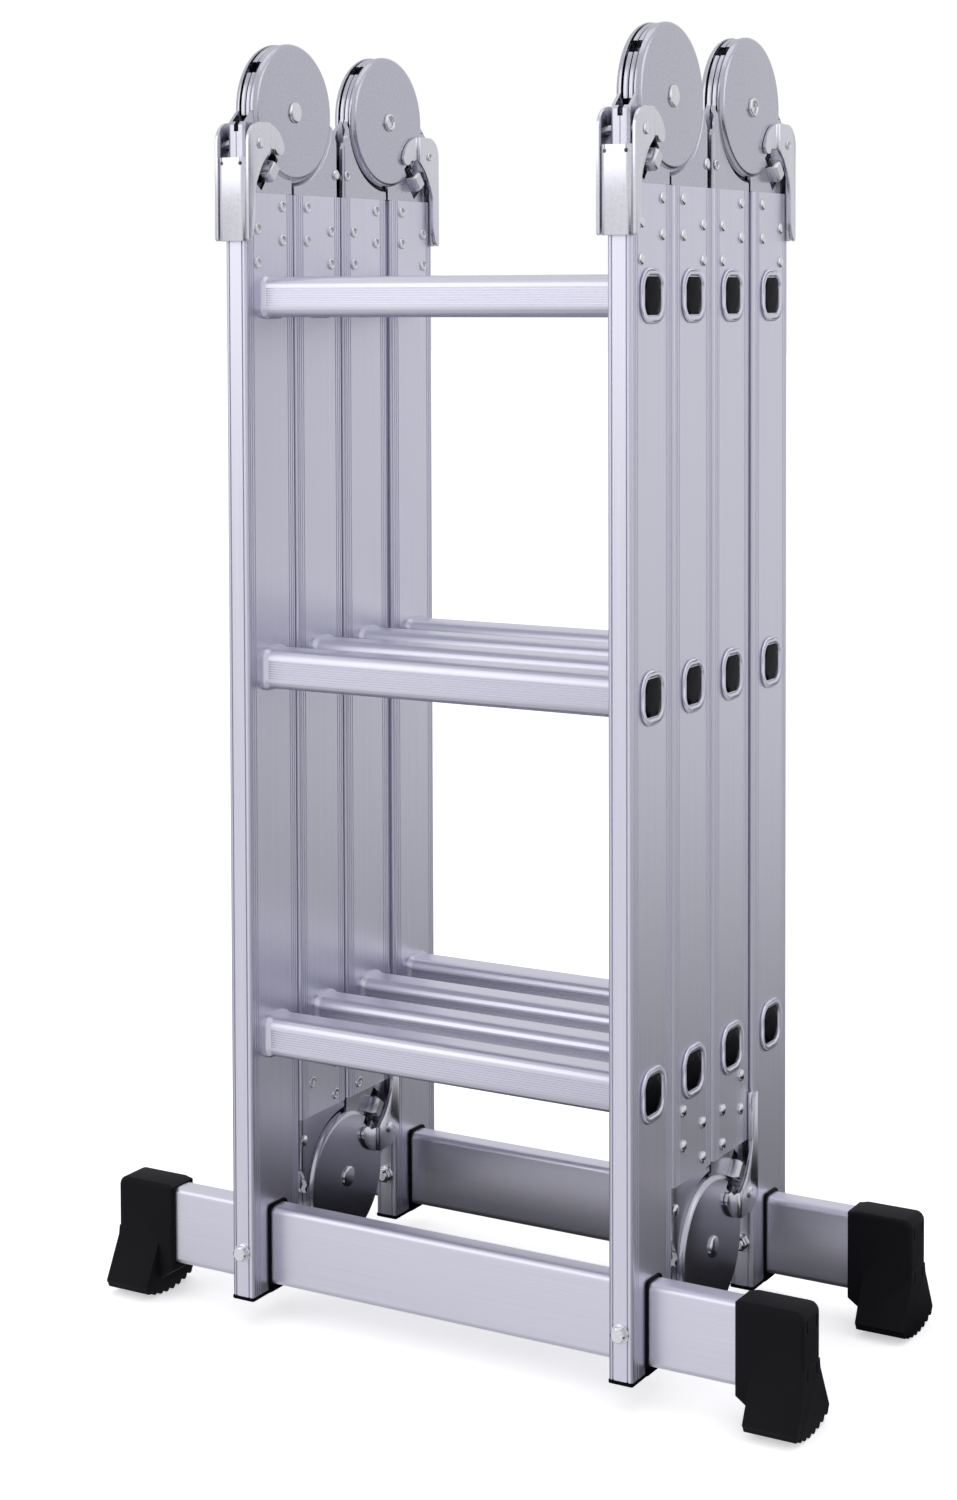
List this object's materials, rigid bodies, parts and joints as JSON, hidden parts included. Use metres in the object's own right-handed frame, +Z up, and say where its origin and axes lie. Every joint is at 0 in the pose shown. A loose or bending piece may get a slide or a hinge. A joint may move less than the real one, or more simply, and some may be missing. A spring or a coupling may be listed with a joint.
{
  "type": "multi-position folding ladder",
  "caption": "Aluminium folding ladder of hinged sections, folded flat, with locking disc hinges, release levers and wide stabiliser bars on rubber feet.",
  "frame": {"origin": "on the floor, in the middle of the folded ladder's footprint", "axes": "+X along the rungs to the right, +Y from the front section to the rear section, +Z up"},
  "size_m": [0.58, 0.2797, 0.97],
  "materials": {
    "stile_aluminium": "satin drawn and anodised, fine lengthwise lines",
    "rung_aluminium": "satin drawn and anodised, fine anti-slip ribs along the length",
    "bar_aluminium": "satin drawn and anodised",
    "hinge_plate_steel": "satin zinc plate on pressed sheet",
    "lever_steel": "bright zinc plate on bent sheet",
    "lock_bar_steel": "bright zinc plate",
    "rivet_steel": "bright zinc plate, domed heads",
    "foot_rubber": "matte moulded, serrated tread",
    "black_plastic": "semi-gloss moulded"
  },
  "bodies": {
    "section_1": {"section_1_left_stile": "stile_aluminium", "section_1_right_stile": "stile_aluminium", "section_1_bottom_rung": "rung_aluminium", "section_1_middle_rung": "rung_aluminium", "section_1_top_rung": "rung_aluminium", "section_1_left_end_cap": "black_plastic", "section_1_right_end_cap": "black_plastic", "front_stabiliser_bar": "bar_aluminium", "front_left_foot": "foot_rubber", "front_right_foot": "foot_rubber", "hinge_12_left_outer_plates": "hinge_plate_steel", "hinge_12_left_pivot_rivet": "rivet_steel", "hinge_12_right_outer_plates": "hinge_plate_steel", "hinge_12_right_pivot_rivet": "rivet_steel"},
    "section_2": {"section_2_left_stile": "stile_aluminium", "section_2_right_stile": "stile_aluminium", "section_2_bottom_rung": "rung_aluminium", "section_2_middle_rung": "rung_aluminium", "section_2_top_rung": "rung_aluminium", "hinge_12_left_inner_plates": "hinge_plate_steel", "hinge_12_right_inner_plates": "hinge_plate_steel", "hinge_23_left_inner_plates": "hinge_plate_steel", "hinge_23_right_inner_plates": "hinge_plate_steel"},
    "section_3": {"section_3_left_stile": "stile_aluminium", "section_3_right_stile": "stile_aluminium", "section_3_bottom_rung": "rung_aluminium", "section_3_middle_rung": "rung_aluminium", "section_3_top_rung": "rung_aluminium", "hinge_23_left_outer_plates": "hinge_plate_steel", "hinge_23_left_pivot_rivet": "rivet_steel", "hinge_23_right_outer_plates": "hinge_plate_steel", "hinge_23_right_pivot_rivet": "rivet_steel", "hinge_34_left_inner_plates": "hinge_plate_steel", "hinge_34_right_inner_plates": "hinge_plate_steel"},
    "section_4": {"section_4_left_stile": "stile_aluminium", "section_4_right_stile": "stile_aluminium", "section_4_bottom_rung": "rung_aluminium", "section_4_middle_rung": "rung_aluminium", "section_4_top_rung": "rung_aluminium", "section_4_left_end_cap": "black_plastic", "section_4_right_end_cap": "black_plastic", "rear_stabiliser_bar": "bar_aluminium", "rear_left_foot": "foot_rubber", "rear_right_foot": "foot_rubber", "hinge_34_left_outer_plates": "hinge_plate_steel", "hinge_34_left_pivot_rivet": "rivet_steel", "hinge_34_right_outer_plates": "hinge_plate_steel", "hinge_34_right_pivot_rivet": "rivet_steel"},
    "lever_12_left": {"hinge_12_left_release_lever": "lever_steel"},
    "lever_12_right": {"hinge_12_right_release_lever": "lever_steel"},
    "lever_23_left": {"hinge_23_left_release_lever": "lever_steel"},
    "lever_23_right": {"hinge_23_right_release_lever": "lever_steel"},
    "lever_34_left": {"hinge_34_left_release_lever": "lever_steel"},
    "lever_34_right": {"hinge_34_right_release_lever": "lever_steel"},
    "lock_bar_12_left": {"hinge_12_left_lock_bar": "lock_bar_steel"},
    "lock_bar_12_right": {"hinge_12_right_lock_bar": "lock_bar_steel"},
    "lock_bar_23_left": {"hinge_23_left_lock_bar": "lock_bar_steel"},
    "lock_bar_23_right": {"hinge_23_right_lock_bar": "lock_bar_steel"},
    "lock_bar_34_left": {"hinge_34_left_lock_bar": "lock_bar_steel"},
    "lock_bar_34_right": {"hinge_34_right_lock_bar": "lock_bar_steel"}
  },
  "joints": [
    {"name": "fold_12", "type": "hinge", "parent": "section_1", "child": "section_2", "pos_m": [0, -0.06925, 0.918], "axis": [1, 0, 0], "range_deg": [0, 180]},
    {"name": "fold_23", "type": "hinge", "parent": "section_2", "child": "section_3", "pos_m": [0, -0.0025, 0.078], "axis": [-1, 0, 0], "range_deg": [0, 180]},
    {"name": "fold_34", "type": "hinge", "parent": "section_3", "child": "section_4", "pos_m": [0, 0.06675, 0.918], "axis": [1, 0, 0], "range_deg": [0, 180]},
    {"name": "release_12_left", "type": "hinge", "parent": "section_1", "child": "lever_12_left", "pos_m": [-0.1595, -0.12325, 0.8925], "axis": [-1, 0, 0], "range_deg": [0, 22], "stiffness_Nm_per_rad": 0.6, "springref_deg": -20.05},
    {"name": "release_12_right", "type": "hinge", "parent": "section_1", "child": "lever_12_right", "pos_m": [0.1595, -0.12325, 0.8925], "axis": [-1, 0, 0], "range_deg": [0, 22], "stiffness_Nm_per_rad": 0.6, "springref_deg": -20.05},
    {"name": "release_34_left", "type": "hinge", "parent": "section_4", "child": "lever_34_left", "pos_m": [-0.1595, 0.12075, 0.8925], "axis": [1, 0, 0], "range_deg": [0, 22], "stiffness_Nm_per_rad": 0.6, "springref_deg": -20.05},
    {"name": "release_34_right", "type": "hinge", "parent": "section_4", "child": "lever_34_right", "pos_m": [0.1595, 0.12075, 0.8925], "axis": [1, 0, 0], "range_deg": [0, 22], "stiffness_Nm_per_rad": 0.6, "springref_deg": -20.05},
    {"name": "release_23_left", "type": "hinge", "parent": "section_3", "child": "lever_23_left", "pos_m": [-0.1595, 0.0515, 0.1035], "axis": [-1, 0, 0], "range_deg": [0, 22]},
    {"name": "release_23_right", "type": "hinge", "parent": "section_3", "child": "lever_23_right", "pos_m": [0.1595, 0.0515, 0.1035], "axis": [-1, 0, 0], "range_deg": [0, 22]},
    {"name": "lock_bar_slide_12_left", "type": "slide", "parent": "section_1", "child": "lock_bar_12_left", "axis": [0, -0.6293, -0.7771], "range_m": [0, 0.006]},
    {"name": "lock_bar_slide_12_right", "type": "slide", "parent": "section_1", "child": "lock_bar_12_right", "axis": [0, -0.6293, -0.7771], "range_m": [0, 0.006]},
    {"name": "lock_bar_slide_23_left", "type": "slide", "parent": "section_3", "child": "lock_bar_23_left", "axis": [0, 0.6293, 0.7771], "range_m": [0, 0.006]},
    {"name": "lock_bar_slide_23_right", "type": "slide", "parent": "section_3", "child": "lock_bar_23_right", "axis": [0, 0.6293, 0.7771], "range_m": [0, 0.006]},
    {"name": "lock_bar_slide_34_left", "type": "slide", "parent": "section_4", "child": "lock_bar_34_left", "axis": [0, 0.6293, -0.7771], "range_m": [0, 0.006]},
    {"name": "lock_bar_slide_34_right", "type": "slide", "parent": "section_4", "child": "lock_bar_34_right", "axis": [0, 0.6293, -0.7771], "range_m": [0, 0.006]}
  ],
  "couplings": [
    {"joint": "fold_23", "follows": "fold_12", "ratio": 1},
    {"joint": "lock_bar_slide_12_left", "follows": "release_12_left", "m_per_rad": 0.0156},
    {"joint": "lock_bar_slide_12_right", "follows": "release_12_right", "m_per_rad": 0.0156},
    {"joint": "lock_bar_slide_34_left", "follows": "release_34_left", "m_per_rad": 0.0156},
    {"joint": "lock_bar_slide_34_right", "follows": "release_34_right", "m_per_rad": 0.0156},
    {"joint": "release_23_left", "follows": "fold_34", "ratio": 0.1222},
    {"joint": "release_23_right", "follows": "fold_34", "ratio": 0.1222},
    {"joint": "lock_bar_slide_23_left", "follows": "fold_34", "m_per_rad": 0.0019},
    {"joint": "lock_bar_slide_23_right", "follows": "fold_34", "m_per_rad": 0.0019}
  ]
}
